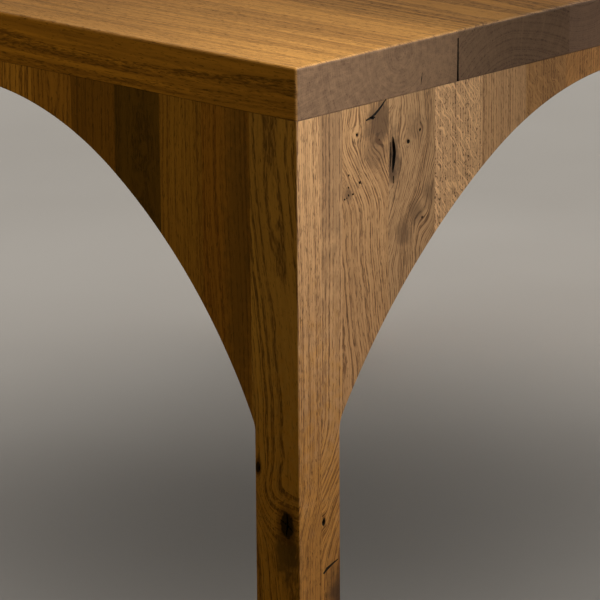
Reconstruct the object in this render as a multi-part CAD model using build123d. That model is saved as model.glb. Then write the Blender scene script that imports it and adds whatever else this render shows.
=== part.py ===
"""Arched communion table in solid oak, in millimetres, +Z up, origin on the floor under its middle.

X runs across the planks of the top and Y along them. A thick plank top lies flush on four corner
posts and four arched side panels. Each post is glued up from two boards, each panel from upright
staves. Cleats inside the panels hold the top through slotted holes, so that it can swell across X.
"""

from build123d import *
import os
from math import hypot, sqrt

# Whole table
LENGTH = 1200.0  # along X
WIDTH = 1100.0  # along Y
HEIGHT = 800.0
TOP = 62.0  # thickness of the top
UNDERSIDE = HEIGHT - TOP

# Posts, glued from two boards of the same stock as the panels
POST_X = 76.0
POST_Y = 75.0
OUTER_BOARD = 38.5  # the board on the outside of the table, measured along X
LEG = 71.0  # square section left below the arches
CORNER_ROUND = 2.0

# Side panels and their arches, which are drawn by three arcs with a small round above each leg
PANEL = 38.0  # thickness
CROWN = 30.0  # wood left over the middle of an arch
SPRING_ROUND = 35.0
FRONT_ARCH = {"radius": 856.0, "past_middle": 194.0, "below_top": 831.5}
SIDE_ARCH = {"radius": 675.0, "past_middle": 131.3, "below_top": 665.0}

# Stave widths from the post inwards: left end, then right end, as each side is seen from outside
CROWN_STAVES = 5
STAVES = {
    "front": ((81.0, 82.5, 87.0, 83.5), (78.0, 84.5, 80.0, 86.0)),
    "back": ((84.0, 79.5, 86.5, 81.0), (80.0, 86.0, 78.5, 84.0)),
    "left": ((73.0, 78.0, 75.5, 77.5), (77.0, 69.0, 76.0, 75.0)),
    "right": ((76.5, 72.0, 79.0, 74.0), (71.0, 77.5, 74.5, 76.0)),
}

# Top
PLANKS = (281.0, 212.0, 214.0, 212.0, 281.0)  # widths across X
TOP_ROUND = 3.5
UNDER_ROUND = 0.8

# Loose tenons with half-round edges, in slots cut a little larger
TENON_THICK = 12.0
TENON_WIDE = 40.0
TENON_LONG = 48.0
SLOT_LONG = 50.0
GLUE_GAP = 0.1
POST_TENONS_BELOW_TOP = (60.0, 170.0, 280.0)
PLANK_TENONS_Y = (-440.0, -220.0, 0.0, 220.0, 440.0)

# Cleats and their screws. Places along a cleat are shares of its length
CLEAT_HIGH = 25.0
CLEAT_DEEP = 30.0
CLEAT_END_GAP = 24.0  # from the post
TOP_SCREWS_AT = (-0.42, -0.213, 0.0, 0.213, 0.42)
PANEL_SCREWS_AT = (-0.32, -0.107, 0.107, 0.32)
SHANK_RADIUS = 2.5
TOP_SCREW_BITE = 35.0  # into the top
PANEL_SCREW_BITE = 22.0  # into the panel
HEAD_RADIUS = 7.0
HEAD_HIGH = 3.5
HEAD_ROUND = 1.5
RECESS = (6.0, 1.2, 1.6)  # length, width and depth of each arm of the cross
SLOT_HOLE_LONG = 14.0
SLOT_HOLE_WIDE = 6.0

# Glides under the legs
GLIDE_RADIUS = 14.0
GLIDE_HIGH = 5.0
GLIDE_ROUND = 1.5
STEM_RADIUS = 2.4
STEM_LONG = 20.0

HALF_X = LENGTH / 2
HALF_Y = WIDTH / 2
FRONT_BAY = LENGTH - 2 * POST_X  # between the posts, along X
SIDE_BAY = WIDTH - 2 * POST_Y
LEGS = {"front_left": (-1, -1), "front_right": (1, -1), "back_left": (-1, 1), "back_right": (1, 1)}
# Each side's bay, half its whole length, its arch, the turn that brings it into place, its outer face
SIDES = {
    "front": (FRONT_BAY, HALF_X, FRONT_ARCH, 0, HALF_Y),
    "back": (FRONT_BAY, HALF_X, FRONT_ARCH, 180, HALF_Y),
    "left": (SIDE_BAY, HALF_Y, SIDE_ARCH, -90, HALF_X),
    "right": (SIDE_BAY, HALF_Y, SIDE_ARCH, 90, HALF_X),
}


def block(low, high):
    """A box between two opposite corners."""
    size = [b - a for a, b in zip(low, high)]
    return Pos(*low) * Box(*size, align=(Align.MIN, Align.MIN, Align.MIN))


def single(shape):
    """The one solid in a result that may come wrapped."""
    return shape.solids()[0]


def on_side(side, shape):
    """Moves a shape drawn with X to the right, Y inwards from the outer face, to its side."""
    _, _, _, turn, out = SIDES[side]
    return Rot(0, 0, turn) * Pos(0, -out, 0) * shape


def arch_face(half, arch):
    """The opening between two legs, drawn in X and Z about the side's middle line."""
    radius, past, below = arch["radius"], arch["past_middle"], arch["below_top"]
    rise = below - CROWN
    crown_radius = (radius**2 - past**2 - rise**2) / (2 * (radius - rise))
    low_centre = (past, UNDERSIDE - below)
    high_centre = (0.0, UNDERSIDE - CROWN - crown_radius)
    edge = half - LEG
    spring = (-edge, low_centre[1] + sqrt(radius**2 - (edge + past) ** 2))
    reach = hypot(past, high_centre[1] - low_centre[1])
    across, up = -past / reach, (high_centre[1] - low_centre[1]) / reach
    joint = (low_centre[0] + radius * across, low_centre[1] + radius * up)
    floor = -1.0

    def mirrored(point):
        return (-point[0], point[1])

    def arc(start, end, arc_radius, centre):
        middle = ((start[0] + end[0]) / 2 - centre[0], (start[1] + end[1]) / 2 - centre[1])
        share = arc_radius / hypot(*middle)
        top = (centre[0] + middle[0] * share, centre[1] + middle[1] * share)
        return ThreePointArc(start, top, end)

    outline = [
        Line((-edge, floor), spring),
        arc(spring, joint, radius, low_centre),
        arc(joint, mirrored(joint), crown_radius, high_centre),
        arc(mirrored(joint), mirrored(spring), radius, mirrored(low_centre)),
        Line(mirrored(spring), (edge, floor)),
        Line((edge, floor), (-edge, floor)),
    ]
    face = make_face(Wire(outline).edges())
    springs = [v for v in face.vertices() if abs(v.Y - spring[1]) < 0.01]
    return fillet(springs, SPRING_ROUND)


def arch_cutter(half, arch, depth):
    """The opening as a solid that runs inwards along Y from just outside the face."""
    upright = Rot(90, 0, 0) * arch_face(half, arch)
    return Pos(0, depth, 0) * extrude(upright, depth + 1, dir=(0, -1, 0))


def tenon(gap=0.0, length=TENON_LONG):
    """Lies along X, wide along Z and thick along Y."""
    profile = SlotOverall(TENON_WIDE + 2 * gap, TENON_THICK + 2 * gap, rotation=90)
    upright = Rot(90, 0, 0) * profile
    return Pos(-length / 2, 0, 0) * (Rot(0, 0, 90) * extrude(upright, length, dir=(0, -1, 0)))


def screw(grip, bite):
    """Stands up Z from the seat of its head, with the thread's outside as a plain shank."""
    head = Pos(0, 0, -HEAD_HIGH / 2) * Cylinder(HEAD_RADIUS, HEAD_HIGH)
    head = fillet(head.edges().group_by(Axis.Z)[0], HEAD_ROUND)
    length, width, depth = RECESS
    arm = Pos(0, 0, -HEAD_HIGH + depth / 2) * Box(length, width, depth)
    head = head - arm - Rot(0, 0, 90) * arm
    shank = Cylinder(SHANK_RADIUS, grip + bite, align=(Align.CENTER, Align.CENTER, Align.MIN))
    return single(head + shank)


def drill(radius, start, length, turn=(0, 0, 0)):
    """A round hole that runs up Z from its start, turned first."""
    hole = Cylinder(radius, length, align=(Align.CENTER, Align.CENTER, Align.MIN))
    return Pos(*start) * (Rot(*turn) * hole)


def post_tenon_places(side):
    """Middles of the loose tenons between a side's panel and its two posts, as seen from outside."""
    bay = SIDES[side][0]
    depths = POST_TENONS_BELOW_TOP
    return [Pos(x, PANEL / 2, UNDERSIDE - z) for x in (-bay / 2, bay / 2) for z in depths]


def plank_seams():
    """X of the glued joints in the top."""
    seams = []
    x = -HALF_X
    for wide in PLANKS[:-1]:
        x += wide
        seams.append(x)
    return seams


def plank_tenon_places():
    lying = Rot(90, 0, 0)
    level = HEIGHT - TOP / 2
    return [Pos(x, y, level) * lying for x in plank_seams() for y in PLANK_TENONS_Y]


def cleat_long(side):
    return SIDES[side][0] - 2 * CLEAT_END_GAP


def top_screw_places(side):
    """Seats of the upright screws under a side's cleat, as seen from outside."""
    y = PANEL + CLEAT_DEEP / 2
    long = cleat_long(side)
    return [Pos(share * long, y, UNDERSIDE - CLEAT_HIGH) for share in TOP_SCREWS_AT]


def panel_screw_places(side):
    """Seats of the screws that hold a cleat to its panel, turned to point outwards."""
    y = PANEL + CLEAT_DEEP
    z = UNDERSIDE - CLEAT_HIGH / 2
    long = cleat_long(side)
    return [Pos(share * long, y, z) * Rot(90, 0, 0) for share in PANEL_SCREWS_AT]


def top_planks():
    slab = block((-HALF_X, -HALF_Y, UNDERSIDE), (HALF_X, HALF_Y, HEIGHT))
    slab = fillet(slab.edges().filter_by(Axis.Z), CORNER_ROUND)
    slab = fillet(slab.edges().group_by(Axis.Z)[-1], TOP_ROUND)
    slab = fillet(slab.edges().group_by(Axis.Z)[0], UNDER_ROUND)
    slots = [place * tenon(GLUE_GAP, SLOT_LONG) for place in plank_tenon_places()]
    pilot = drill(SHANK_RADIUS + GLUE_GAP, (0, 0, 0), CLEAT_HIGH + TOP_SCREW_BITE + 1)
    pilots = [on_side(side, place * pilot) for side in SIDES for place in top_screw_places(side)]
    slab = slab - slots - pilots
    edges = [-HALF_X, *plank_seams(), HALF_X]
    for number, (left, right) in enumerate(zip(edges, edges[1:]), 1):
        plank = slab & block((left, -HALF_Y, UNDERSIDE), (right, HALF_Y, HEIGHT))
        yield f"top_plank_{number}", single(plank)


def posts():
    base = block((-HALF_X, -HALF_Y, GLIDE_HIGH), (HALF_X, HALF_Y, UNDERSIDE))
    base = fillet(base.edges().filter_by(Axis.Z), CORNER_ROUND)
    cuts = []
    for side, (_, half, arch, _, _) in SIDES.items():
        cuts.append(on_side(side, arch_cutter(half, arch, POST_X)))
        slot = tenon(GLUE_GAP, SLOT_LONG)
        cuts += [on_side(side, place * slot) for place in post_tenon_places(side)]
    stem = drill(STEM_RADIUS + GLUE_GAP, (0, 0, 0), GLIDE_HIGH + STEM_LONG + 1)
    for name, (sx, sy) in LEGS.items():
        corner = (sx * HALF_X, sy * HALF_Y)
        seam = sx * (HALF_X - OUTER_BOARD)
        inner = (sx * (HALF_X - POST_X), sy * (HALF_Y - POST_Y))
        hole = Pos(sx * (HALF_X - LEG / 2), sy * (HALF_Y - LEG / 2), 0) * stem
        for board, (x0, x1) in {"outer": (corner[0], seam), "inner": (seam, inner[0])}.items():
            low = (min(x0, x1), min(corner[1], inner[1]), GLIDE_HIGH)
            high = (max(x0, x1), max(corner[1], inner[1]), UNDERSIDE)
            yield f"{name}_leg_{board}_board", single((base & block(low, high)) - cuts - hole)


def staves(side):
    """The panel's staves, left to right from outside: four singly, the crown together, four more."""
    bay, half, arch, _, _ = SIDES[side]
    left, right = STAVES[side]
    crown_wide = (bay - sum(left) - sum(right)) / CROWN_STAVES
    widths = [*left, *[crown_wide] * CROWN_STAVES, *reversed(right)]
    cuts = [arch_cutter(half, arch, PANEL + 1)]
    slot = tenon(GLUE_GAP, SLOT_LONG)
    cuts += [place * slot for place in post_tenon_places(side)]
    reach = CLEAT_DEEP + PANEL_SCREW_BITE
    pilot = drill(SHANK_RADIUS + GLUE_GAP, (0, 0, 0), reach + 1)
    cuts += [place * pilot for place in panel_screw_places(side)]
    made = []
    x = -bay / 2
    for wide in widths:
        stave = block((x, 0, GLIDE_HIGH), (x + wide, PANEL, UNDERSIDE)) - cuts
        made.append(on_side(side, single(stave)))
        x += wide
    ends = len(left)
    crown = made[ends : ends + CROWN_STAVES]
    for number, stave in enumerate(made[:ends] + made[ends + CROWN_STAVES :], 1):
        yield f"{side}_stave_{number}", stave
    yield f"{side}_crown_staves", Compound(crown)


def cleat(side):
    """Its upright holes are slots along X, whichever way the cleat runs."""
    long = cleat_long(side)
    low = (-long / 2, PANEL, UNDERSIDE - CLEAT_HIGH)
    bar = block(low, (long / 2, PANEL + CLEAT_DEEP, UNDERSIDE))
    across = SIDES[side][3] % 180
    slot = extrude(SlotOverall(SLOT_HOLE_LONG, SLOT_HOLE_WIDE, rotation=across), CLEAT_HIGH + 1)
    hole = drill(SHANK_RADIUS + GLUE_GAP, (0, 0, 0), CLEAT_DEEP + 1)
    bar = bar - [place * slot for place in top_screw_places(side)]
    bar = bar - [place * hole for place in panel_screw_places(side)]
    return on_side(side, single(bar))


def glide():
    foot = Pos(0, 0, GLIDE_HIGH / 2) * Cylinder(GLIDE_RADIUS, GLIDE_HIGH)
    foot = fillet(foot.edges().group_by(Axis.Z)[0], GLIDE_ROUND)
    return single(foot + drill(STEM_RADIUS, (0, 0, GLIDE_HIGH), STEM_LONG))


def nodes():
    """Every node's name and shape."""
    yield from top_planks()
    yield from posts()
    for side in SIDES:
        yield from staves(side)
        yield f"{side}_cleat", cleat(side)
    for name, (sx, sy) in LEGS.items():
        place = Pos(sx * (HALF_X - LEG / 2), sy * (HALF_Y - LEG / 2), 0)
        yield f"{name}_glide", place * glide()
    top_screw = screw(CLEAT_HIGH, TOP_SCREW_BITE)
    panel_screw = screw(CLEAT_DEEP, PANEL_SCREW_BITE)
    places = {side: (top_screw_places(side), panel_screw_places(side)) for side in SIDES}
    yield "top_screws", Compound([on_side(s, p * top_screw) for s in SIDES for p in places[s][0]])
    yield "cleat_screws", Compound(
        [on_side(s, p * panel_screw) for s in SIDES for p in places[s][1]]
    )
    joints = [on_side(side, place * tenon()) for side in SIDES for place in post_tenon_places(side)]
    joints += [place * tenon() for place in plank_tenon_places()]
    yield "loose_tenons", Compound([single(joint) for joint in joints])


os.makedirs("parts", exist_ok=True)
for node_name, node_shape in nodes():
    export_step(node_shape, f"parts/{node_name}.step")
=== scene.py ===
"""The looks of an arched communion table in oiled oak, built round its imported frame.

Sizes are in metres. The table stands on Z = 0, X runs across the planks of its top and Y along
them. Every board is made again here with eased edges, its checks and its knot holes, and gets its
own cut through one procedural oak: growth rings about a pith line, pores, rays and knots.
"""

import random
from math import cos, hypot, pi, radians, sin, sqrt

import bmesh
import bpy
from mathutils import Matrix, Vector


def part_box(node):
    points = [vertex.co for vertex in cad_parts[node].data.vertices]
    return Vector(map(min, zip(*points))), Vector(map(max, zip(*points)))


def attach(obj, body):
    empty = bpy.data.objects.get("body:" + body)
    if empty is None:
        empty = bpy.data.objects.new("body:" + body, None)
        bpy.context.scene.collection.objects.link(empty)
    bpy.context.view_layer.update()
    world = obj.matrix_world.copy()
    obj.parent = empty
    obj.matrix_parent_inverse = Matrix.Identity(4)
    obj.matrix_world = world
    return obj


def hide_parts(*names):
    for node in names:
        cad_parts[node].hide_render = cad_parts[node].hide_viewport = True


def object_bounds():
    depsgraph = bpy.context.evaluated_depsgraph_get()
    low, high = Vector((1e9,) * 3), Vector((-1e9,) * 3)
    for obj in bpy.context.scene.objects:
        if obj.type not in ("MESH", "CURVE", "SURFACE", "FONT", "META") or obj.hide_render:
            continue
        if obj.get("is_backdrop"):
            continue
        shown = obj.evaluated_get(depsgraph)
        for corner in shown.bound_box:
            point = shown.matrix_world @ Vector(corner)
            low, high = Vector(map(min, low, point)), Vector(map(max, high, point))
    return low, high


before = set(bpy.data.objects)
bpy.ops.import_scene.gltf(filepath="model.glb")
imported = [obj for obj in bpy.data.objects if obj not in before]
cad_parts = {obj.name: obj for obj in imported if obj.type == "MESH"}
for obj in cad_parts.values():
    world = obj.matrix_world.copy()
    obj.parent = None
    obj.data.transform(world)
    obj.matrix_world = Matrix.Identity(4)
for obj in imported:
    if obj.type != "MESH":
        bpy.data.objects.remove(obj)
cad_low, cad_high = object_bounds()

# The table's driving sizes, which follow the frame
HALF_X, HALF_Y, HEIGHT = cad_high
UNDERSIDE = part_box("front_crown_staves")[1][2]
OUTER_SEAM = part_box("front_left_leg_outer_board")[1][0] + HALF_X  # from the outside of a post
POST_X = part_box("front_left_leg_inner_board")[1][0] + HALF_X
POST_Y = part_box("front_left_leg_inner_board")[1][1] + HALF_Y
LEG_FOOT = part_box("front_left_leg_outer_board")[0][2]
LEG = 0.071
PANEL = 0.038
CROWN = 0.030  # how much of a panel is left over the middle of its arch
SPRING_ROUND = 0.035  # where an arch runs into a leg
FRONT_ARCH = {"radius": 0.856, "past_middle": 0.194, "below_top": 0.8315}
SIDE_ARCH = {"radius": 0.675, "past_middle": 0.1313, "below_top": 0.665}

# Eased edges
TOP_ROUND = 0.0035
UNDER_ROUND = 0.0009
ARRIS = 0.0016
FLUSH = 0.00003  # a corner that stays as good as sharp
CORNER_STEPS = 3  # faces round an eased corner
SHARP = radians(35)  # edges that turn by less are left alone

# Fineness of the meshes
STAVE_STEP = 0.006  # between the points along the arched end of a stave
POST_CUTS = [0.350 + 0.003 * n for n in range(1, 9)]  # heights at which a widening post is drawn
CLEAR = 0.001  # how near two of those heights may come
SAME_PLANE = 1e-5  # how far off the plane of a seam its corners may lie
NEAR = 1e-4  # slack where edges of the top are told apart

# Hollows
PROUD = 0.002  # how far a cutter starts off a face
CRACK_DEPTH = 0.012
POCKET_DEPTH = 0.005
KNOT_DEPTH = 0.006
PIN_DEPTH = 0.004
SEAM_DEPTH = 0.018
SEAM_SHUT = 0.0095  # how much of a seam is still closed, down from the top's upper face
CRACK_TAPER = 0.96  # the share of its width that a crack keeps at its bottom
HOLE_TAPER = 0.5
HOLE_CORNERS = 12

STAVES = 8  # whole staves to a side, half of them at each end
CROWN_STAVES = 5  # short staves between them, over the arch
PLANKS = 5

# Each leg, with the way to it from the middle of the table
LEGS = {"front_left": (-1, -1), "front_right": (1, -1), "back_left": (-1, 1), "back_right": (1, 1)}

# Each side: half its length, its arch, the turn that brings it into place, its outer face
SIDES = {
    "front": (HALF_X, FRONT_ARCH, 0, HALF_Y),
    "back": (HALF_X, FRONT_ARCH, 180, HALF_Y),
    "left": (HALF_Y, SIDE_ARCH, -90, HALF_X),
    "right": (HALF_Y, SIDE_ARCH, 90, HALF_X),
}


# ---------------------------------------------------------------- shader maths


class Wire:
    """A shader socket that takes part in sums: each operator adds its Math node."""

    def __init__(self, tree, socket=None):
        self.tree = tree
        self.socket = socket

    def add(self, kind, settings=None, out=0, **inputs):
        """Adds a node, sets it up, then fills its sockets, named with _ for a space or by place."""
        node = self.tree.nodes.new(kind)
        for name, value in (settings or {}).items():
            setattr(node, name, value)
        for name, value in inputs.items():
            if name.startswith("at"):
                socket = node.inputs[int(name[2:])]
            else:
                socket = node.inputs[name.replace("_", " ")]
            if isinstance(value, Wire):
                self.tree.links.new(value.socket, socket)
            else:
                socket.default_value = value
        return Wire(self.tree, node.outputs[out])

    def output(self, name):
        """Another output of the node that this wire leaves."""
        return Wire(self.tree, self.socket.node.outputs[name])

    def feed(self, socket):
        """Ends this wire in a socket."""
        self.tree.links.new(self.socket, socket)

    def math(self, operation, *values):
        sockets = {f"at{i}": value for i, value in enumerate(values)}
        return self.add("ShaderNodeMath", {"operation": operation}, **sockets)

    def __add__(self, other):
        return self.math("ADD", self, other)

    def __radd__(self, other):
        return self.math("ADD", other, self)

    def __sub__(self, other):
        return self.math("SUBTRACT", self, other)

    def __rsub__(self, other):
        return self.math("SUBTRACT", other, self)

    def __mul__(self, other):
        return self.math("MULTIPLY", self, other)

    def __truediv__(self, other):
        return self.math("DIVIDE", self, other)

    def __pow__(self, other):
        return self.math("POWER", self, other)

    def vector(self, operation, *values, out=0, **more):
        sockets = {f"at{i}": value for i, value in enumerate(values)}
        return self.add("ShaderNodeVectorMath", {"operation": operation}, out, **sockets, **more)

    def rise(self, low, high):
        """0 below low and 1 above high, smooth between."""
        settings = {"interpolation_type": "SMOOTHSTEP"}
        return self.add("ShaderNodeMapRange", settings, Value=self, From_Min=low, From_Max=high)

    def mix(self, first, second):
        """Two colours mixed by this value."""
        settings = {"data_type": "RGBA", "blend_type": "MIX", "clamp_factor": True}
        return self.add("ShaderNodeMix", settings, 2, at0=self, at6=first, at7=second)

    def noise(self, where, detail, out=0):
        """Noise with one cycle to a unit of where."""
        settings = {"noise_dimensions": "3D"}
        sockets = {"Vector": where, "Scale": 1.0, "Detail": detail, "Roughness": 0.5}
        return self.add("ShaderNodeTexNoise", settings, out, **sockets)


def colour(red, green, blue):
    """A colour written as a screen shows it, 0 to 255, as linear light."""

    def linear(value):
        value /= 255
        return value / 12.92 if value <= 0.04045 else ((value + 0.055) / 1.055) ** 2.4

    return (linear(red), linear(green), linear(blue), 1.0)


def group_tree(name, sockets_in, sockets_out):
    """A node group with its sockets, and the wires of its inputs by name."""
    tree = bpy.data.node_groups.new(name, "ShaderNodeTree")
    for socket, kind in sockets_in.items():
        tree.interface.new_socket(socket, in_out="INPUT", socket_type=f"NodeSocket{kind}")
    for socket, kind in sockets_out.items():
        tree.interface.new_socket(socket, in_out="OUTPUT", socket_type=f"NodeSocket{kind}")
    source = tree.nodes.new("NodeGroupInput")
    wires = {socket: Wire(tree, source.outputs[socket]) for socket in sockets_in}
    return tree, wires


def group_end(tree, **results):
    """Closes a node group with a wire for each of its outputs."""
    end = tree.nodes.new("NodeGroupOutput")
    for name, wire in results.items():
        wire.feed(end.inputs[name])
    return tree


def new_finish(name):
    """A material, its shader and a wire to add nodes with."""
    material = bpy.data.materials.new(name)
    material.use_nodes = True
    tree = material.node_tree
    return material, tree.nodes["Principled BSDF"], Wire(tree)


# ---------------------------------------------------------------- oak

STAIN_BROWN = colour(98, 76, 58)
KNOT_RIM = colour(92, 56, 30)
KNOT_HEART = colour(34, 22, 14)
# The amber of painted warm light, where warm light falls low on a post
WARM_LIGHT_TINT = (1.0, 0.90, 0.58)
END_GRAIN = {"Hue": 0.493, "Saturation": 0.78, "Value": 0.455}  # darker and greyer
RELIEF = {"Strength": 0.15, "Distance": 0.0006}
SHEEN = 0.42
PORES_ACROSS = 640.0  # to a metre
RAYS_ACROSS = 460.0  # to a metre
RAY_SLANT = 0.58


def bend_group():
    """Moves the grain over by Size, across it, between two places along it."""
    sockets = {"Vector": "Vector", "Across": "Vector", "Along": "Vector"}
    sockets |= {"From": "Float", "To": "Float", "Size": "Float"}
    tree, given = group_tree("bend", sockets, {"Vector": "Vector"})
    start = given["Vector"]
    along = start.vector("DOT_PRODUCT", start, given["Along"], out="Value")
    pull = along.rise(given["From"], given["To"]) * given["Size"]
    shift = start.vector("SCALE", given["Across"], Scale=pull)
    return group_end(tree, Vector=start.vector("SUBTRACT", start, shift))


def knot_group():
    """Parts the grain round a knot and says how near a point is to its middle.

    Place is on the face, Across lies in the face across the grain, and Along in line with it. The
    rings part round the knot, which is Wide by Long, as far out as Reach times its size.
    """
    sockets = {"Vector": "Vector", "Place": "Vector", "Across": "Vector", "Along": "Vector"}
    sockets |= {"Wide": "Float", "Long": "Float", "Reach": "Float"}
    tree, given = group_tree("knot", sockets, {"Vector": "Vector", "Near": "Float"})
    start = given["Vector"]
    off = start.vector("SUBTRACT", start, given["Place"])
    across = start.vector("DOT_PRODUCT", off, given["Across"], out="Value")
    along = start.vector("DOT_PRODUCT", off, given["Along"], out="Value")
    square = (across / given["Wide"]) ** 2.0 + (along / given["Long"]) ** 2.0
    parting = square.math("EXPONENT", square * -1.0 / (given["Reach"] * given["Reach"]))
    shift = start.vector("SCALE", given["Across"], Scale=across * parting * 0.9)
    ragged = start.noise(start.vector("SCALE", start, Scale=170.0), 3.0)
    near = square.math("EXPONENT", square * (0.3 + ragged * 1.6) * -1.0)
    return group_end(tree, Vector=start.vector("SUBTRACT", start, shift), Near=near)


def stain_and_light_group():
    """How strongly a soft round spot shows, broken up by noise: a stain, and also the spot of
    painted warm light.
    """
    sockets = {"Vector": "Vector", "Place": "Vector", "Size": "Vector", "Strength": "Float"}
    tree, given = group_tree("stain_and_light_spot", sockets, {"Near": "Float"})
    start = given["Vector"]
    off = start.vector("SUBTRACT", start, given["Place"])
    off = start.vector("DIVIDE", off, given["Size"])
    far = start.vector("LENGTH", off, out="Value")
    ragged = start.noise(start.vector("SCALE", start, Scale=90.0), 3.0)
    near = 1.0 - (far + (ragged - 0.5) * 1.3).rise(0.25, 1.15)
    return group_end(tree, Near=near * given["Strength"])


def oak_group():
    """Oak about a pith line along Z, in metres.

    End is 1 on end grain. Ring is the width of a year, Line how dark its pore row is, Wave how far
    the tree wanders, Burl how much it curls, Fleck how strong the rays are, Streak how striped it
    is, Knot how near a knot is, Stain how dark a stain, and Warm how strongly painted warm light
    tints it amber.
    """
    sockets = {"Vector": "Vector", "Seed": "Float", "Ring": "Float", "Line": "Float"}
    sockets |= {"Wave": "Float", "Burl": "Float", "Fleck": "Float", "Streak": "Float"}
    sockets |= {"Pores": "Float", "End": "Float", "Knot": "Float", "Stain": "Float"}
    sockets |= {"Warm": "Float", "Light": "Color", "Dark": "Color"}
    results = {"Colour": "Color", "Roughness": "Float", "Height": "Float"}
    tree, given = group_tree("oak", sockets, results)
    here = given["Vector"]
    end = given["End"]
    seed = given["Seed"]
    shift = here.add("ShaderNodeCombineXYZ", X=seed, Y=seed * 0.37, Z=seed)

    def at(scale_across, scale_along, place=here):
        """Coordinates for noise, so many cycles to a metre across the grain and along it."""
        scaled = here.vector("MULTIPLY", place, (scale_across, scale_across, scale_along))
        return here.vector("ADD", scaled, shift)

    def level(wander, size):
        """A shift across the grain out of a noise colour."""
        centred = here.vector("SUBTRACT", wander, (0.5, 0.5, 0.5))
        flat = here.vector("MULTIPLY", centred, (1.0, 1.0, 0.0))
        return here.vector("SCALE", flat, Scale=size)

    slow = level(here.noise(at(6.0, 1.6), 1.0, out="Color"), given["Wave"])
    quick = level(here.noise(at(30.0, 7.0), 2.0, out="Color"), given["Wave"] * 0.16)
    curl = level(here.noise(at(17.0, 17.0), 2.0, out="Color"), given["Burl"])
    bent = here.vector("ADD", here.vector("ADD", here, slow), here.vector("ADD", quick, curl))

    radius = here.vector("LENGTH", here.vector("MULTIPLY", bent, (1.0, 1.0, 0.0)), out="Value")
    across = here.add("ShaderNodeSeparateXYZ", Vector=bent)
    angle = here.math("ARCTAN2", across.output("Y"), across)
    along = across.output("Z")

    # Years of uneven width: pores crowd at the start of each, and dense wood ends it
    one_way = {"noise_dimensions": "1D"}
    uneven = here.add("ShaderNodeTexNoise", one_way, W=radius * 90.0 + seed)
    year = radius / given["Ring"] + uneven * 1.7
    inside = year.math("FRACT", year)
    strength = here.add("ShaderNodeTexWhiteNoise", one_way, W=year.math("FLOOR", year))
    early = inside.rise(0.0, 0.14) * (1.0 - inside.rise(0.18, 0.66))
    broken = here.noise(at(560.0, 70.0, bent), 2.0).rise(0.39, 0.63)
    band = early * (0.35 + strength * 0.65) * (0.14 + broken * 1.15) * given["Line"]

    # Pores are long thin hollows, and dots where they are cut across
    lengthwise = given["Fleck"] * 150.0 + 115.0
    stretch = here.add("ShaderNodeCombineXYZ", X=PORES_ACROSS, Y=PORES_ACROSS, Z=lengthwise)
    fine = here.noise(here.vector("ADD", here.vector("MULTIPLY", bent, stretch), shift), 1.0)
    coarse = here.noise(at(330.0, 36.0, bent), 2.0)
    pore = (fine - 0.63 + early * 0.10).rise(0.0, 0.09) * given["Pores"]
    dash = (coarse - 0.56 + early * 0.06).rise(0.0, 0.14)

    # Rays are thin sheets on the pith line, which show as slanting ribbons on a quartered face
    slow_turn = here.noise(at(60.0, 60.0), 1.0)
    ribbon = (radius + along * RAY_SLANT + (slow_turn - 0.5) * 0.014) * RAYS_ACROSS
    sheet = here.add("ShaderNodeCombineXYZ", X=ribbon, Y=along * 55.0, Z=angle * 30.0)
    ray = here.noise(here.vector("ADD", sheet, shift), 0.0)
    ray = (ray - 0.57).rise(0.0, 0.07) * given["Fleck"]
    thin = here.add("ShaderNodeCombineXYZ", X=angle * 120.0, Y=radius * 16.0, Z=along * 60.0)
    hair = here.noise(here.vector("ADD", thin, shift), 1.0)
    hair = (hair - 0.55).rise(0.0, 0.16)

    # Slow changes of tone along a board
    cloud = here.noise(at(14.0, 2.2, bent), 3.0)
    streak = here.noise(at(150.0, 2.4, bent), 2.0)
    tone = (cloud - 0.5) * 0.8 + (streak - 0.5) * given["Streak"]

    darkness = band * (1.25 - end * 0.70) + tone * (1.0 - end * 0.3) + 0.25
    body = darkness.mix(given["Light"], given["Dark"])
    worn = here.vector("SCALE", given["Dark"], Scale=0.42)
    dark = ((pore * 0.50 + dash * 0.24) * (1.0 - end * 0.6)).mix(body, worn)
    pale = here.vector("SCALE", given["Light"], Scale=1.15)
    rayed = (ray * 0.58 + hair * end * 0.42).mix(dark, pale)

    # End grain drinks the oil
    grey = end.add("ShaderNodeHueSaturation", Color=rayed, **END_GRAIN)
    cut = end.mix(rayed, grey)

    # Painted warm light: where warm light falls, the colour is tinted amber
    painted_warm_lit = given["Warm"].mix(cut, here.vector("MULTIPLY", cut, WARM_LIGHT_TINT))
    stained = (given["Stain"] * 0.9).mix(painted_warm_lit, STAIN_BROWN)
    knot = given["Knot"]
    reddened = (knot.rise(0.02, 0.34) * 0.55).mix(stained, KNOT_RIM)
    knotted = (knot.rise(0.40, 0.58) * 0.92).mix(reddened, KNOT_HEART)

    rough = 0.43 + pore * 0.20 + end * 0.16 + (cloud - 0.5) * 0.14 - ray * 0.08
    height = 0.5 - pore * 0.50 - dash * 0.25 - band * 0.15 + ray * 0.10
    return group_end(tree, Colour=knotted, Roughness=rough, Height=height)


BEND = {"node_tree": bend_group()}
KNOT = {"node_tree": knot_group()}
STAIN_AND_LIGHT_SPOT = {"node_tree": stain_and_light_group()}
OAK = {"node_tree": oak_group()}
AXES = {"X": Vector((1, 0, 0)), "Y": Vector((0, 1, 0)), "Z": Vector((0, 0, 1))}
# Turns that bring a grain direction to Z
GRAIN_TURN = {"X": (0, -pi / 2, 0), "Y": (pi / 2, 0, 0), "Z": (0, 0, 0)}


def bend(across, start, end, size):
    """Grain that moves over by size between two heights under the top."""
    return {"Across": across, "From": UNDERSIDE + start, "To": UNDERSIDE + end, "Size": size}


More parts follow.
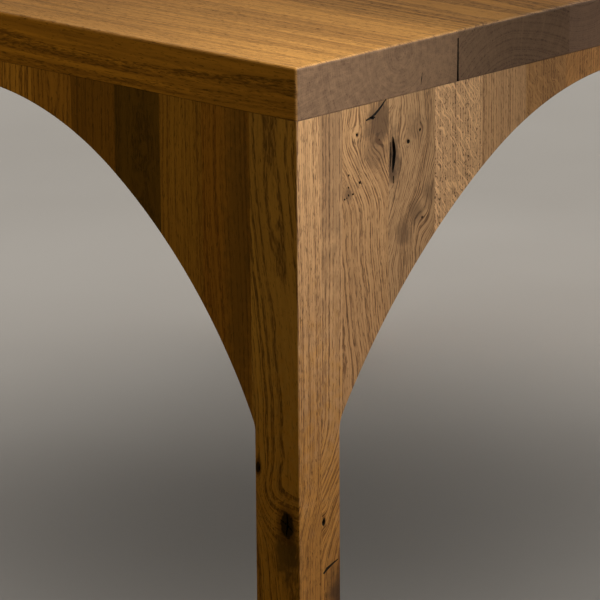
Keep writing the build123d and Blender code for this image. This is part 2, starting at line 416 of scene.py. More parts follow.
def knot(place, across, wide, long, reach):
    """A knot on a face, as wide and long as this, that parts the grain so many times as far out."""
    return {"Place": place, "Across": across, "Wide": wide, "Long": long, "Reach": reach}


def stain_and_light_spot(place, size, strength):
    """A soft spot about a place, with its half size along X, Y and Z: a stain, and also
    painted warm light.
    """
    return {"Place": place, "Size": size, "Strength": strength}


def strongest(wires):
    """The greatest of some values, or 0 where there are none."""
    if not wires:
        return 0.0
    found, *others = wires
    for wire in others:
        found = found.math("MAXIMUM", found, wire)
    return found


def oak(name, grain, pith, seed, light, dark, ring=0.0034, line=1.0, wave=0.018, burl=0.0,
        fleck=0.0, streak=0.5, pores=1.0, bends=(), knots=(), stains=(), ambers=()):
    """One board's finish: its grain direction, a point on its pith line, and its own figure."""
    material, shader, start = new_finish(name)
    here = start.add("ShaderNodeTexCoord", out="Object")
    direction = AXES[grain]

    def spots(given):
        found = [start.add("ShaderNodeGroup", STAIN_AND_LIGHT_SPOT, Vector=here, **sockets) for sockets in given]
        return strongest(found)

    place = here
    cores = []
    for sockets in knots:
        place = start.add("ShaderNodeGroup", KNOT, Vector=place, Along=direction, **sockets)
        cores.append(place.output("Near"))
    for sockets in bends:
        place = start.add("ShaderNodeGroup", BEND, Vector=place, Along=direction, **sockets)
    centred = start.vector("SUBTRACT", place, pith)
    turned = start.add("ShaderNodeMapping", Vector=centred, Rotation=GRAIN_TURN[grain])
    normal = start.add("ShaderNodeNewGeometry", out="Normal")
    end = start.vector("DOT_PRODUCT", normal, direction, out="Value")
    end = start.math("ABSOLUTE", end).rise(0.55, 0.95)
    sockets = {"Vector": turned, "Seed": seed, "Ring": ring, "Line": line, "Wave": wave}
    sockets |= {"Burl": burl, "Fleck": fleck, "Streak": streak, "Pores": pores, "End": end}
    sockets |= {"Knot": strongest(cores), "Stain": spots(stains), "Warm": spots(ambers)}
    sockets |= {"Light": light, "Dark": dark}
    wood = start.add("ShaderNodeGroup", OAK, out="Colour", **sockets)
    bump = start.add("ShaderNodeBump", Height=wood.output("Height"), **RELIEF)
    wood.feed(shader.inputs["Base Color"])
    wood.output("Roughness").feed(shader.inputs["Roughness"])
    bump.feed(shader.inputs["Normal"])
    shader.inputs["Specular IOR Level"].default_value = SHEEN
    return material


# ---------------------------------------------------------------- arches and boards


class Arch:
    """The opening of a side, in X along the side from its middle and Z up."""

    def __init__(self, half, radius, past_middle, below_top):
        rise = below_top - CROWN
        self.radius = radius
        self.centre = (past_middle, UNDERSIDE - below_top)
        self.crown_radius = (radius**2 - past_middle**2 - rise**2) / (2 * (radius - rise))
        self.crown_z = UNDERSIDE - CROWN - self.crown_radius
        lift = self.crown_z - self.centre[1]
        self.joint = past_middle - radius * past_middle / hypot(past_middle, lift)
        self.round_x = SPRING_ROUND - (half - LEG)
        reach = radius - SPRING_ROUND
        self.round_z = self.centre[1] + sqrt(reach**2 - (self.round_x - past_middle) ** 2)
        share = radius / reach
        self.round_end = past_middle + (self.round_x - past_middle) * share
        self.round_top = self.centre[1] + (self.round_z - self.centre[1]) * share

    def height(self, x):
        """Height of the wood over a place along the side."""
        x = -abs(x)
        if x > self.joint:
            return self.crown_z + sqrt(self.crown_radius**2 - x**2)
        if x > self.round_end:
            return self.centre[1] + sqrt(self.radius**2 - (x - self.centre[0]) ** 2)
        return self.round_z + sqrt(max(SPRING_ROUND**2 - (x - self.round_x) ** 2, 0.0))

    def width_at(self, z, half, post):
        """How wide a post is at a height: its leg below the arch, then out to its whole width."""
        if z <= self.round_z:
            return LEG
        if z < self.round_top:
            x = self.round_x - sqrt(SPRING_ROUND**2 - (z - self.round_z) ** 2)
        else:
            x = self.centre[0] - sqrt(self.radius**2 - (z - self.centre[1]) ** 2)
        return min(x + half, post)


ARCHES = {side: Arch(half, **arch) for side, (half, arch, _, _) in SIDES.items()}


def side_matrix(side):
    """Brings a place drawn with X to the right and Y inwards from the outer face to its side."""
    _, _, turn, out = SIDES[side]
    return Matrix.Rotation(radians(turn), 4, "Z") @ Matrix.Translation((0, -out, 0))


def new_object(bm, name):
    """An object of this form, in the scene."""
    mesh = bpy.data.meshes.new(name)
    bm.to_mesh(mesh)
    bm.free()
    made = bpy.data.objects.new(name, mesh)
    bpy.context.collection.objects.link(made)
    return made


def extruded(bm, face):
    """Extrudes a face in place, and gives the corners of its new end."""
    made = bmesh.ops.extrude_face_region(bm, geom=[face])["geom"]
    return [item for item in made if isinstance(item, bmesh.types.BMVert)]


def prism(outline, depth):
    """A board with this outline in X and Z, from Y = 0 inwards."""
    bm = bmesh.new()
    face = bm.faces.new([bm.verts.new((x, 0, z)) for x, z in outline])
    bmesh.ops.translate(bm, verts=extruded(bm, face), vec=(0, depth, 0))
    bmesh.ops.recalc_face_normals(bm, faces=bm.faces)
    return bm


def column(levels):
    """A board through stacked oblongs, lowest first.

    Each is (z, x0, x1, y0, y1, rounds), with the rounding of its corners from (x0, y0) on, or None
    for a corner that stays sharp all the way up.
    """
    bm = bmesh.new()

    def outline(level):
        _, x0, x1, y0, y1, rounds = level
        for number, radius in enumerate(rounds):
            x, inwards_x = (x0, 1) if number in (0, 3) else (x1, -1)
            y, inwards_y = (y0, 1) if number < 2 else (y1, -1)
            if radius is None:
                yield x, y
                continue
            for step in range(CORNER_STEPS + 1):
                turn = radians(180 + 90 * (number + step / CORNER_STEPS))
                yield x + (inwards_x + cos(turn)) * radius, y + (inwards_y + sin(turn)) * radius

    top = bm.faces.new([bm.verts.new((x, y, levels[0][0])) for x, y in outline(levels[0])])
    for level in levels[1:]:
        made = bmesh.ops.extrude_face_region(bm, geom=[top])["geom"]
        top = next(item for item in made if isinstance(item, bmesh.types.BMFace))
        for vert, (x, y) in zip(top.verts, outline(level)):
            vert.co = (x, y, level[0])
    bmesh.ops.recalc_face_normals(bm, faces=bm.faces)
    return bm


def hidden_faces(bm, planes):
    """The faces that lie against another board: planes are (axis, place)."""
    found = set()
    for face in bm.faces:
        for axis, place in planes:
            if all(abs(v.co[axis] - place) < SAME_PLANE for v in face.verts):
                found.add(face)
    return found


def ease(bm, width, hidden, wanted=lambda middle: True):
    """Rounds the sharp edges between faces that show, where their middle is wanted."""
    edges = []
    for edge in bm.edges:
        shown = len(edge.link_faces) == 2 and not hidden & set(edge.link_faces)
        middle = (edge.verts[0].co + edge.verts[1].co) / 2
        if shown and edge.calc_face_angle(0) > SHARP and wanted(middle):
            edges.append(edge)
    bmesh.ops.bevel(bm, geom=edges, offset=width, offset_type="OFFSET", affect="EDGES",
                    segments=CORNER_STEPS, profile=0.5, material=-1, clamp_overlap=True)


def pit_form(outline, inwards, depth, narrow):
    """A plug with this outline on a face, which goes inwards and narrows to a share of its size."""
    bm = bmesh.new()
    face = bm.faces.new([bm.verts.new(place - inwards * PROUD) for place in outline])
    moved = extruded(bm, face)
    middle = sum((v.co for v in moved), Vector()) / len(moved)
    for vert in moved:
        vert.co = middle + (vert.co - middle) * narrow + inwards * (depth + PROUD)
    bmesh.ops.recalc_face_normals(bm, faces=bm.faces)
    return bm


def crack(path, widths, inwards, depth=CRACK_DEPTH):
    """A crack along a path on a face, with its width at each point."""
    sides = ([], [])
    for number, (place, width) in enumerate(zip(path, widths)):
        ahead = path[min(number + 1, len(path) - 1)] - path[max(number - 1, 0)]
        across = ahead.cross(inwards).normalized() * width / 2
        sides[0].append(place + across)
        sides[1].append(place - across)
    return pit_form(sides[0] + sides[1][::-1], inwards, depth, CRACK_TAPER)


def hole(place, inwards, wide, long, depth, seed):
    """An uneven round hole, wide across the grain and long down the board."""
    rng = random.Random(seed)
    across, down = inwards.cross(AXES["Z"]), AXES["Z"]
    outline = []
    for number in range(HOLE_CORNERS):
        turn = 2 * pi * number / HOLE_CORNERS
        size = rng.uniform(0.72, 1.15)
        outline.append(place + across * (cos(turn) * wide * size) + down * (sin(turn) * long * size))
    return pit_form(outline, inwards, depth, HOLE_TAPER)


def carve(piece, forms, bark_and_shade):
    """Cuts the forms out of a piece and lines the hollows with a finish, near-black in part as
    painted shade.
    """
    piece.data.materials.append(bark_and_shade)
    tools = []
    for form in forms:
        tool = new_object(form, "cutter")
        tool.data.materials.append(bark_and_shade)
        tools.append(tool)
        cut = piece.modifiers.new("cut", "BOOLEAN")
        cut.operation, cut.solver, cut.material_mode = "DIFFERENCE", "EXACT", "TRANSFER"
        cut.object = tool
    shown = piece.evaluated_get(bpy.context.evaluated_depsgraph_get())
    carved = bpy.data.meshes.new_from_object(shown)
    piece.modifiers.clear()
    piece.data = carved
    for tool in tools:
        bpy.data.objects.remove(tool)


def finish_piece(bm, name, matrix, material, node):
    """Makes the object of a finished board, in place, riding with the table."""
    bmesh.ops.transform(bm, matrix=matrix, verts=bm.verts)
    if matrix.determinant() < 0:
        bmesh.ops.reverse_faces(bm, faces=bm.faces)
    piece = new_object(bm, name)
    piece.data.materials.append(material)
    if name in HOLLOWS:
        carve(piece, HOLLOWS[name](), HOLLOW_BARK_AND_SHADE)
    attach(piece, "root")
    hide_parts(node)


# ---------------------------------------------------------------- finishes by board

HONEY = (0.415, 0.232, 0.096)  # oiled oak, as linear light
AMBER = (0.418, 0.241, 0.092)  # the same, yellower


def tones(by=1.0, warm=0.0, contrast=1.0, base=HONEY):
    """The light and the dark of a board that is lighter or darker, and warmer or cooler."""
    red, green, blue = base
    red, blue = red * (1 + warm * 0.4), blue * (1 - warm)
    light, dark = by * (1 + 0.26 * contrast), by * (1 - 0.44 * contrast)
    return {"light": (red * light, green * light, blue * light, 1.0),
            "dark": (red * dark * 1.10, green * dark * 0.97, blue * dark * 0.95, 1.0)}


def cut_of(rng, middle, across, inwards, kind):
    """A point on the pith line of a board sawn flat, rift or quartered."""
    near = rng.choice((-1, 1))
    if kind == "flat":
        aside = across * rng.uniform(-0.02, 0.02)
        return middle + aside + inwards * near * rng.uniform(0.05, 0.11)
    if kind == "rift":
        return middle + across * near * rng.uniform(0.05, 0.09) + inwards * rng.uniform(0.06, 0.1)
    return middle + across * near * rng.uniform(0.1, 0.2) + inwards * rng.uniform(-0.02, 0.02)


def plain_oak(name, rng, middle, across, inwards, grain="Z"):
    """A board's cut, tone and ring width, drawn by chance unless MARKED says otherwise."""
    kind = rng.choice(("flat", "flat", "rift", "quarter"))
    given = {
        "pith": cut_of(rng, middle, across, inwards, kind),
        "seed": rng.uniform(0, 50),
        "ring": rng.uniform(0.0026, 0.0050),
        "wave": rng.uniform(0.012, 0.03),
        "fleck": 0.8 if kind == "quarter" else 0.0,
        **tones(rng.uniform(0.80, 1.05), rng.uniform(-0.05, 0.25)),
    }
    return oak(name, grain, **(given | MARKED.get(name, {})))


def on_front(u, z, depth=0.0):
    """A place on the front face, from the near corner and down from the top's underside."""
    return Vector((-HALF_X + u, -HALF_Y + depth, UNDERSIDE + z))


def on_left(u, z, depth=0.0):
    """The same on the left face."""
    return Vector((-HALF_X + depth, -HALF_Y + u, UNDERSIDE + z))


def in_top(u, depth):
    """A place from the left edge of the top and down from its upper face."""
    return Vector((-HALF_X + u, 0, HEIGHT - depth))


RIGHTWARDS = AXES["X"]
BACKWARDS = AXES["Y"]
# Painted warm light: an amber cast low on the front left post, where warm light falls
POST_PAINTED_WARM_LIGHT = stain_and_light_spot(on_front(0.04, -0.60), (0.12, 0.2, 0.36), 1.0)
# What is known of single boards; the rest of their figure, and all other boards, fall by chance
MARKED = {
    "front_left_leg_outer_board_oak": {
        **tones(1.22, -0.20, 1.1), "pith": on_front(-0.100, 0, 0.04), "ring": 0.0030, "line": 1.2,
        "wave": 0.008, "burl": 0.003, "fleck": 0.0,
        "bends": [bend(RIGHTWARDS, -0.44, -0.52, -0.020), bend(BACKWARDS, -0.02, -0.38, -0.034)],
        "knots": [knot(on_left(0.0200, -0.489), BACKWARDS, 0.013, 0.019, 2.8),
                  knot(on_left(0.0640, -0.427), BACKWARDS, 0.005, 0.009, 2.6)],
        "stains": [stain_and_light_spot(on_left(0.020, -0.525), (0.02, 0.026, 0.040), 0.9)],
        "ambers": [POST_PAINTED_WARM_LIGHT],
    },
    "front_left_leg_inner_board_oak": {
        **tones(1.22, -0.22, 1.1), "pith": on_front(0.16, 0, 0.04), "ring": 0.0056, "line": 1.7,
        "wave": 0.012, "fleck": 0.0,
        "bends": [bend(RIGHTWARDS, -0.36, -0.56, -0.090)],
        "knots": [knot(on_front(0.0424, -0.490), RIGHTWARDS, 0.0028, 0.006, 3.5)],
        "stains": [stain_and_light_spot(on_front(0.064, -0.590), (0.022, 0.03, 0.046), 1.0),
                   stain_and_light_spot(on_front(0.055, -0.02), (0.04, 0.05, 0.24), 0.42)],
        "ambers": [POST_PAINTED_WARM_LIGHT],
    },
    "front_stave_1_oak": {
        **tones(1.08, -0.18, 1.1), "pith": on_front(0.02, 0, 0.05), "ring": 0.0036, "line": 1.3,
        "wave": 0.022, "burl": 0.006, "fleck": 0.0,
        "bends": [bend(RIGHTWARDS, -0.040, -0.13, 0.034), bend(RIGHTWARDS, -0.13, -0.42, 0.030)],
        "knots": [knot(on_front(0.1017, -0.0334), RIGHTWARDS, 0.0018, 0.0022, 10.0),
                  knot(on_front(0.140, -0.046), RIGHTWARDS, 0.0010, 0.0010, 22.0)],
        "stains": [stain_and_light_spot(on_front(0.142, -0.026), (0.034, 0.03, 0.040), 0.9),
                   stain_and_light_spot(on_front(0.132, -0.060), (0.034, 0.03, 0.030), 0.5),
                   stain_and_light_spot(on_front(0.086, -0.100), (0.011, 0.02, 0.014), 0.7)],
    },
    "front_stave_2_oak": {
        **tones(1.02, -0.24, 1.2), "pith": on_front(0.150, 0, 0.06), "ring": 0.0028, "line": 1.4,
        "wave": 0.030, "burl": 0.014, "fleck": 0.0, "pores": 0.6,
        "bends": [bend(RIGHTWARDS, -0.05, -0.22, -0.045)],
        "knots": [knot(on_front(0.2127, -0.0459), RIGHTWARDS, 0.0013, 0.0015, 9.0),
                  knot(on_front(0.1912, -0.0566), RIGHTWARDS, 0.0018, 0.0024, 9.0),
                  knot(on_front(0.217, -0.154), RIGHTWARDS, 0.0014, 0.0014, 20.0)],
        "stains": [stain_and_light_spot(on_front(0.165, -0.072), (0.016, 0.03, 0.046), 1.0),
                   stain_and_light_spot(on_front(0.205, -0.045), (0.024, 0.03, 0.026), 0.4),
                   stain_and_light_spot(on_front(0.230, -0.128), (0.016, 0.03, 0.022), 0.6),
                   stain_and_light_spot(on_front(0.206, -0.146), (0.016, 0.03, 0.020), 0.6),
                   stain_and_light_spot(on_front(0.184, -0.168), (0.018, 0.03, 0.020), 0.6)],
    },
    "front_stave_3_oak": {
        **tones(1.42, -0.26, 1.2), "pith": on_front(0.12, 0, 0.012), "ring": 0.0046, "line": 0.45,
        "wave": 0.008, "fleck": 1.0, "streak": 0.3, "pores": 1.9,
    },
    "front_stave_4_oak": {
        **tones(1.20, -0.22, 1.0), "pith": on_front(0.20, 0, 0.05), "ring": 0.0044, "wave": 0.008,
        "fleck": 0.3,
    },
    "left_stave_8_oak": {
        **tones(0.84, 0.2, 0.8), "pith": on_left(0.20, 0, 0.08), "ring": 0.006,
        "stains": [stain_and_light_spot(on_left(0.094, -0.16), (0.019, 0.03, 0.34), 0.55),
                   stain_and_light_spot(on_left(0.080, -0.180), (0.03, 0.006, 0.03), 0.7)],
    },
    "left_stave_7_oak": {
        **tones(0.90, 0.05, 0.8, AMBER), "pith": on_left(0.30, 0, 0.03), "ring": 0.006,
    },
    "left_stave_6_oak": {
        **tones(0.36, 0.1, 0.9, AMBER), "pith": on_left(0.25, 0, 0.09), "ring": 0.008, "burl": 0.012,
    },
    "left_stave_5_oak": {
        **tones(0.52, 0.2, 0.8), "pith": on_left(0.45, 0, 0.03), "ring": 0.006,
    },
    "top_plank_1_oak": {
        **tones(0.93, 0.20, 1.2, AMBER), "pith": in_top(0.178, 0.011), "ring": 0.0038, "line": 0.55,
        "wave": 0.018, "fleck": 0.0, "streak": 1.7,
    },
    "top_plank_2_oak": {
        **tones(0.77, 0.20, 1.1, AMBER), "pith": in_top(0.40, 0.20), "ring": 0.0050, "line": 0.9,
        "wave": 0.024, "streak": 1.1,
    },
}


def bark_and_shade_finish():
    """Near-black inside cracks, knot holes and the open seam: dark bark in the knots and the pocket,
    and painted shade in the cracks and the seam.
    """
    material, shader, start = new_finish("hollow_bark_and_painted_shade")
    here = start.add("ShaderNodeTexCoord", out="Object")
    flakes = here.noise(here.vector("MULTIPLY", here, (420.0, 420.0, 130.0)), 2.0)
    paint = flakes.rise(0.42, 0.72).mix(colour(16, 12, 9), colour(74, 60, 46))
    paint.feed(shader.inputs["Base Color"])
    shader.inputs["Roughness"].default_value = 0.7
    return material


# Painted shade in the cracks and the seam, and dark bark in the knots
HOLLOW_BARK_AND_SHADE = bark_and_shade_finish()


def split_by_top():
    """The open crack under the top, its wide middle, a pin knot and its trail of worm holes."""
    path = [on_front(0.1530, 0.001), on_front(0.1432, -0.0073), on_front(0.1339, -0.0135),
            on_front(0.1265, -0.0172), on_front(0.1170, -0.0190)]
    forms = [crack(path, (0.0014, 0.0026, 0.0034, 0.0030, 0.0018), BACKWARDS)]
    forms.append(hole(on_front(0.1290, -0.0180), BACKWARDS, 0.0042, 0.0022, KNOT_DEPTH, 2))
    pins = ((0.1009, -0.0331, 0.0017), (0.1065, -0.0909, 0.0019), (0.0873, -0.0787, 0.0013),
            (0.0866, -0.0931, 0.0012), (0.0945, -0.1024, 0.0015), (0.0870, -0.1024, 0.0013),
            (0.0800, -0.1060, 0.0014), (0.0838, -0.1052, 0.0011))
    for number, (u, z, radius) in enumerate(pins):
        forms.append(hole(on_front(u, z), BACKWARDS, radius, radius * 1.2, PIN_DEPTH, number))
    return forms


def bark_pocket():
    """A pocket of old bark against the seam, and two pin knots."""
    path = [on_front(0.1640, -0.046), on_front(0.1655, -0.056), on_front(0.1668, -0.066),
            on_front(0.1655, -0.078), on_front(0.1640, -0.090)]
    forms = [crack(path, (0.001, 0.0045, 0.0060, 0.0050, 0.001), BACKWARDS, POCKET_DEPTH)]
    beside = [on_front(0.1605, -0.052), on_front(0.1608, -0.068), on_front(0.1603, -0.082)]
    forms.append(crack(beside, (0.0008, 0.0022, 0.0008), BACKWARDS, POCKET_DEPTH))
    below = [on_front(0.1655, -0.094), on_front(0.1652, -0.103)]
    forms.append(crack(below, (0.0012, 0.0008), BACKWARDS))
    forms.append(hole(on_front(0.2125, -0.0469), BACKWARDS, 0.0019, 0.0022, PIN_DEPTH, 11))
    forms.append(hole(on_front(0.1917, -0.0571), BACKWARDS, 0.0032, 0.0030, PIN_DEPTH, 12))
    return forms


def post_front_knots():
    """A pin knot beside the seam of the post, and the crack under it."""
    path = [on_front(0.0410, -0.5560), on_front(0.0470, -0.5515), on_front(0.0560, -0.5480),
            on_front(0.0675, -0.5440)]
    return [crack(path, (0.0022, 0.0040, 0.0026, 0.0010), BACKWARDS),
            hole(on_front(0.0415, -0.4920), BACKWARDS, 0.0028, 0.0052, KNOT_DEPTH, 21)]


def post_side_knots():
    """The star of cracks in the dark knot near the corner, and a smaller knot by the other edge."""
    middle = on_left(0.0190, -0.4885)
    arms = ((0.0310, -0.4840), (0.0095, -0.4960), (0.0200, -0.4720), (0.0215, -0.5020))
    forms = [crack([middle, on_left(u, z)], (0.0030, 0.0008), RIGHTWARDS, 0.008) for u, z in arms]
    forms.append(hole(on_left(0.0640, -0.4275), RIGHTWARDS, 0.0016, 0.0040, PIN_DEPTH, 31))
    return forms


def seam_gap():
    """The end of the glued seam between the first two planks, open from below."""
    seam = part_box("top_plank_1")[1].x + HALF_X
    path = [on_front(seam, -PROUD), on_front(seam, HEIGHT - UNDERSIDE - SEAM_SHUT)]
    return [crack(path, (0.0030, 0.0020), BACKWARDS, SEAM_DEPTH)]


def seam_gap_and_check():
    """That seam in the first plank, and a fine check in its end grain."""
    path = [on_front(0.2140, 0.0070), on_front(0.2152, 0.0140), on_front(0.2165, 0.0215)]
    return [*seam_gap(), crack(path, (0.0005, 0.0014, 0.0005), BACKWARDS)]


HOLLOWS = {
    "front_stave_1_oak": split_by_top,
    "front_stave_2_oak": bark_pocket,
    "front_left_leg_inner_board_oak": post_front_knots,
    "front_left_leg_outer_board_oak": post_side_knots,
    "top_plank_1_oak": seam_gap_and_check,
    "top_plank_2_oak": seam_gap,
}


# ---------------------------------------------------------------- the table


def make_staves(side):
    """The staves of one side, cut to its arch below."""
    matrix = side_matrix(side)
    turned = matrix.to_3x3()
    back = matrix.inverted()
    across, inwards = turned @ AXES["X"], turned @ AXES["Y"]
    arch = ARCHES[side]

    def span(node):
        ends = [(back @ corner).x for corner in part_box(node)]
        return min(ends), max(ends)

    whole = [(f"{side}_stave_{n}", f"stave_{n}") for n in range(1, STAVES + 1)]
    spans = [(node, label, *span(node)) for node, label in whole]
    crown = f"{side}_crown_staves"
    low, high = span(crown)
    step = (high - low) / CROWN_STAVES
    spans += [(crown, f"crown_stave_{n + 1}", low + n * step, low + (n + 1) * step)
              for n in range(CROWN_STAVES)]
    for node, label, left, right in spans:
        points = int((right - left) / STAVE_STEP)
        places = [left + (right - left) * n / points for n in range(points + 1)]
        outline = [(x, arch.height(x)) for x in places] + [(right, UNDERSIDE), (left, UNDERSIDE)]
        bm = prism(outline, PANEL)
        hidden = hidden_faces(bm, ((0, left), (0, right), (2, UNDERSIDE)))
        ease(bm, ARRIS, hidden)
        name = f"{side}_{label}_oak"
        rng = random.Random(name)
        middle = matrix @ Vector(((left + right) / 2, PANEL / 2, UNDERSIDE))
        material = plain_oak(name, rng, middle, across, inwards)
        finish_piece(bm, name, matrix, material, node)


def make_posts():
    """The two boards of each post, wide beside the arches and square below them."""
    arch_x, arch_y = ARCHES["front"], ARCHES["left"]
    top_x, top_y = arch_x.height(POST_X - HALF_X), arch_y.height(POST_Y - HALF_Y)
    heights = {LEG_FOOT, LEG_FOOT + ARRIS, UNDERSIDE, top_x, top_x + ARRIS, top_y, top_y + ARRIS}
    heights = sorted(heights | {z for z in POST_CUTS if z < min(top_x, top_y) - CLEAR})
    for name, (sx, sy) in LEGS.items():
        matrix = Matrix.Translation((sx * HALF_X, sy * HALF_Y, 0)) @ Matrix.Diagonal((-sx, -sy, 1, 1))
        across, inwards = Vector((-sx, 0, 0)), Vector((0, -sy, 0))
        for board in ("outer", "inner"):
            levels = []
            for z in heights:
                wide = arch_x.width_at(z, HALF_X, POST_X)
                deep = arch_y.width_at(z, HALF_Y, POST_Y)
                # The arris runs up to the seam with the first stave and stops there
                x_round = ARRIS if z <= top_x else FLUSH
                y_round = ARRIS if z <= top_y else FLUSH
                foot = ARRIS / 2 if z == LEG_FOOT else 0.0
                if board == "outer":
                    rounds = (ARRIS, None, None, y_round)
                    levels.append((z, foot, OUTER_SEAM, foot, deep - foot, rounds))
                else:
                    rounds = (None, x_round, min(x_round, y_round), None)
                    levels.append((z, OUTER_SEAM, wide - foot, foot, deep - foot, rounds))
            bm = column(levels)
            node = f"{name}_leg_{board}_board"
            rng = random.Random(node)
            middle = matrix @ Vector((OUTER_SEAM, POST_Y / 2, UNDERSIDE))
            material = plain_oak(f"{node}_oak", rng, middle, across, inwards)
            finish_piece(bm, f"{node}_oak", matrix, material, node)


def make_top():
    """The planks of the top, rounded along its outer edges."""
    for number in range(1, PLANKS + 1):
        node = f"top_plank_{number}"
        low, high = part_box(node)
        bm = bmesh.new()
        size = Matrix.Diagonal((*(high - low), 1))
        bmesh.ops.create_cube(bm, size=1.0, matrix=Matrix.Translation((low + high) / 2) @ size)
        seams = [(0, x) for x in (low.x, high.x) if abs(x) < HALF_X - NEAR]
        hidden = hidden_faces(bm, seams)
        ease(bm, TOP_ROUND, hidden, lambda middle: middle.z > UNDERSIDE + NEAR)
        hidden = hidden_faces(bm, seams)
        ease(bm, UNDER_ROUND, hidden, lambda middle: middle.z < UNDERSIDE + NEAR)
        name = f"{node}_oak"
        rng = random.Random(node)
        middle = (low + high) / 2
        material = plain_oak(name, rng, middle, AXES["X"], AXES["Z"], "Y")
        finish_piece(bm, name, Matrix.Identity(4), material, node)


def small_finish(name, first, second, cycles, rough, metal=0.0):
    """A plain cloudy finish for a small fitting."""
    material, shader, start = new_finish(name)
    here = start.add("ShaderNodeTexCoord", out="Object")
    cloud = here.noise(here.vector("SCALE", here, Scale=cycles), 3.0)
    cloud.rise(0.3, 0.7).mix(first, second).feed(shader.inputs["Base Color"])
    (cloud * 0.2 + (rough - 0.1)).feed(shader.inputs["Roughness"])
    shader.inputs["Metallic"].default_value = metal
    return material


def finish_frame_nodes():
    """The cleats, tenons, screws and glides show as the frame gives them, in their own finishes."""
    beech, beech_dark = colour(206, 172, 132), colour(186, 146, 104)
    zinc, zinc_dark = colour(176, 174, 166), colour(150, 146, 134)
    brown, brown_dark = colour(62, 48, 36), colour(50, 38, 28)
    tenon = small_finish("pressed_beech", beech, beech_dark, 160.0, 0.6)
    steel = small_finish("zinc_plated_steel", zinc, zinc_dark, 240.0, 0.32, 1.0)
    nylon = small_finish("brown_nylon", brown, brown_dark, 300.0, 0.5)
    finishes = {"loose_tenons": tenon, "top_screws": steel, "cleat_screws": steel}
    finishes |= {f"{leg}_glide": nylon for leg in LEGS}
    for side in SIDES:
        low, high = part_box(f"{side}_cleat")
        grain = "X" if high.x - low.x > high.y - low.y else "Y"
        pith = (low + high) / 2 + Vector((0.05, 0.05, 0.09))
        finish = oak(f"{side}_cleat_oak", grain, pith, 7.0, **tones(1.0, -0.05), ring=0.004)
        finishes[f"{side}_cleat"] = finish
    for node, material in finishes.items():
        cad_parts[node].material_slots[0].material = material


for side_name in SIDES:
    make_staves(side_name)
make_posts()
make_top()
finish_frame_nodes()


# ---------------------------------------------------------------- stage

FLOOR_HALF = 40.0
BACKDROP = 30.0
ROOM_GLOW = (1.0, 0.7, 0.4, 1)
ROOM_STRENGTH = 0.01
GAMMA = 0.85

# Each lamp: its place, what it faces, its size, watts, tint and spread in degrees
LAMPS = {
    "key": ((-0.42, -1.60, 1.85), (-0.66, -0.55, 0.73), 0.5, 3.15, (0.96, 0.99, 1.0), 42),
    "low": ((-0.45, -2.4, 0.25), (-0.6, -0.55, 0.15), 0.6, 0.26, (1.0, 0.60, 0.20), 30),
    "front": ((1.5, -2.5, 1.5), (0.62, -0.55, 0.45), 1.0, 8.2, (1.0, 0.94, 0.87), 26),
    "left": ((-3.0, 0.5, 1.7), (-0.6, 0.1, 0.6), 1.3, 3.4, (1.0, 0.76, 0.12), 60),
    "top": ((1.7, 2.4, 3.0), (0.45, 0.45, 0.8), 1.4, 1.7, (1.0, 0.82, 0.58), 34),
    "right": ((3.6, 0.2, 1.7), (0.6, 0.1, 0.5), 1.8, 27.0, (1.0, 0.90, 0.78), 80),
    "rear": ((-0.3, 3.8, 1.7), (0.0, 0.55, 0.5), 1.8, 18.0, (1.0, 0.90, 0.78), 80),
}
DULL_LAMP = "rear"  # it would glare along the top in a low view
SKY = {"watts": 2.6, "angle": 115, "tint": (1.0, 0.97, 0.93), "tilt": (-12, 14, 0)}

# The camera: where it looks, how far off it stands, its lens and its aim from the near corner
BEARING, TILT, ROLL = radians(47.034), radians(16.184), radians(-0.3768)
DISTANCE = 3.771
LENS, SENSOR = 200.4, 36.0
AIM_RIGHT, AIM_DOWN = 0.0036, 0.2011


def new_lamp(name, kind, lit):
    """A lamp that lights only what is in a collection."""
    lamp = bpy.data.lights.new(name, kind)
    light = bpy.data.objects.new(name, lamp)
    bpy.context.collection.objects.link(light)
    light.light_linking.receiver_collection = lit
    return light, lamp


def soft_light(name, lit):
    """One of the lamps of the table."""
    place, aim, size, watts, tint, spread = LAMPS[name]
    light, lamp = new_lamp(name, "AREA", lit)
    lamp.shape = "RECTANGLE"
    lamp.size = lamp.size_y = size
    lamp.energy = watts
    lamp.color = tint
    lamp.spread = radians(spread)
    light.location = place
    light.rotation_mode = "QUATERNION"
    light.rotation_quaternion = (Vector(aim) - Vector(place)).to_track_quat("-Z", "Y")
    light.visible_camera = False
    light.visible_glossy = name != DULL_LAMP


def floor_light(lit):
    """One broad even light from above, for the floor alone."""
    light, lamp = new_lamp("floor_light", "SUN", lit)
    lamp.energy = SKY["watts"]
    lamp.angle = radians(SKY["angle"])
    lamp.color = SKY["tint"]
    light.rotation_euler = [radians(angle) for angle in SKY["tilt"]]


def lit_collection(name, floor, state):
    """A collection that has a light reach the floor alone, or everything but the floor."""
    collection = bpy.data.collections.new(name)
    collection.objects.link(floor)
    collection.collection_objects[0].light_linking.link_state = state
    return collection


def make_floor():
    """A plain pale floor."""
    bm = bmesh.new()
    bmesh.ops.create_grid(bm, x_segments=1, y_segments=1, size=FLOOR_HALF)
    floor = new_object(bm, "floor")
    material, shader, start = new_finish("pale_floor")
    place = start.add("ShaderNodeTexCoord", out="Object")
    cloud = place.noise(place.vector("SCALE", place, Scale=0.9), 3.0)
    cloud.mix(colour(176, 172, 166), colour(200, 197, 192)).feed(shader.inputs["Base Color"])
    shader.inputs["Roughness"].default_value = 0.75
    floor.data.materials.append(material)
    floor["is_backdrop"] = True
    # It sends no light back up, so the shaded side keeps its warmth
    floor.visible_diffuse = floor.visible_glossy = False
    return floor


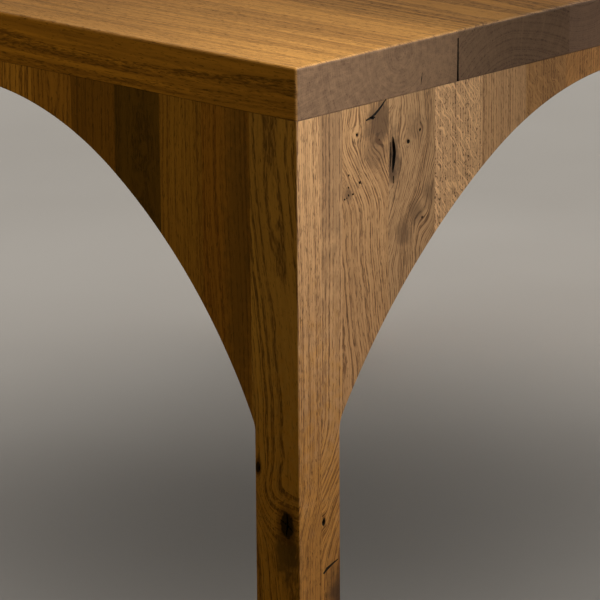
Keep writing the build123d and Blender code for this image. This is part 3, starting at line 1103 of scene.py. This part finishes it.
def make_backdrop():
    """A pale wall all round, far off, which lights nothing."""
    bm = bmesh.new()
    bmesh.ops.create_uvsphere(bm, u_segments=48, v_segments=24, radius=BACKDROP)
    bmesh.ops.reverse_faces(bm, faces=bm.faces)
    wall = new_object(bm, "backdrop")
    material, shader, start = new_finish("backdrop_paper")
    shader.inputs["Base Color"].default_value = (0, 0, 0, 1)
    place = start.add("ShaderNodeTexCoord", out="Object")
    cloud = place.noise(place.vector("SCALE", place, Scale=0.06), 1.0)
    cloud.mix(colour(150, 146, 139), colour(160, 156, 149)).feed(shader.inputs["Emission Color"])
    shader.inputs["Emission Strength"].default_value = 1.0
    wall.data.materials.append(material)
    wall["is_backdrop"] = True
    wall.visible_diffuse = wall.visible_glossy = wall.visible_shadow = False


def make_camera():
    """Stands at eye height off the near corner with a long lens, aimed part way down its post."""
    ahead = Vector((sin(BEARING) * cos(TILT), cos(BEARING) * cos(TILT), -sin(TILT)))
    level = Vector((cos(BEARING), -sin(BEARING), 0))
    upright = level.cross(ahead)
    right = level * cos(ROLL) + upright * sin(ROLL)
    above = upright * cos(ROLL) - level * sin(ROLL)
    aim = Vector((-HALF_X, -HALF_Y, UNDERSIDE)) + right * AIM_RIGHT - above * AIM_DOWN
    data = bpy.data.cameras.new("camera")
    data.lens, data.sensor_width = LENS, SENSOR
    data.clip_end = 200
    camera = bpy.data.objects.new("camera", data)
    bpy.context.collection.objects.link(camera)
    turned = Matrix((right, above, -ahead)).transposed().to_4x4()
    camera.matrix_world = Matrix.Translation(aim - ahead * DISTANCE) @ turned
    bpy.context.scene.camera = camera


def set_room():
    """A faint warm glow all round, and how the picture is shown."""
    world = bpy.data.worlds.new("room")
    world.use_nodes = True
    background = world.node_tree.nodes["Background"]
    background.inputs["Color"].default_value = ROOM_GLOW
    background.inputs["Strength"].default_value = ROOM_STRENGTH
    bpy.context.scene.world = world
    bpy.context.scene.view_settings.view_transform = "Standard"
    bpy.context.scene.view_settings.gamma = GAMMA


stage_floor = make_floor()
floor_light(lit_collection("floor_only", stage_floor, "INCLUDE"))
make_backdrop()
make_camera()
table_only = lit_collection("all_but_the_floor", stage_floor, "EXCLUDE")
for lamp_name in LAMPS:
    soft_light(lamp_name, table_only)
set_room()

boxes = ((cad_low, cad_high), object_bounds())
[[list(corner) for corner in box] for box in boxes]
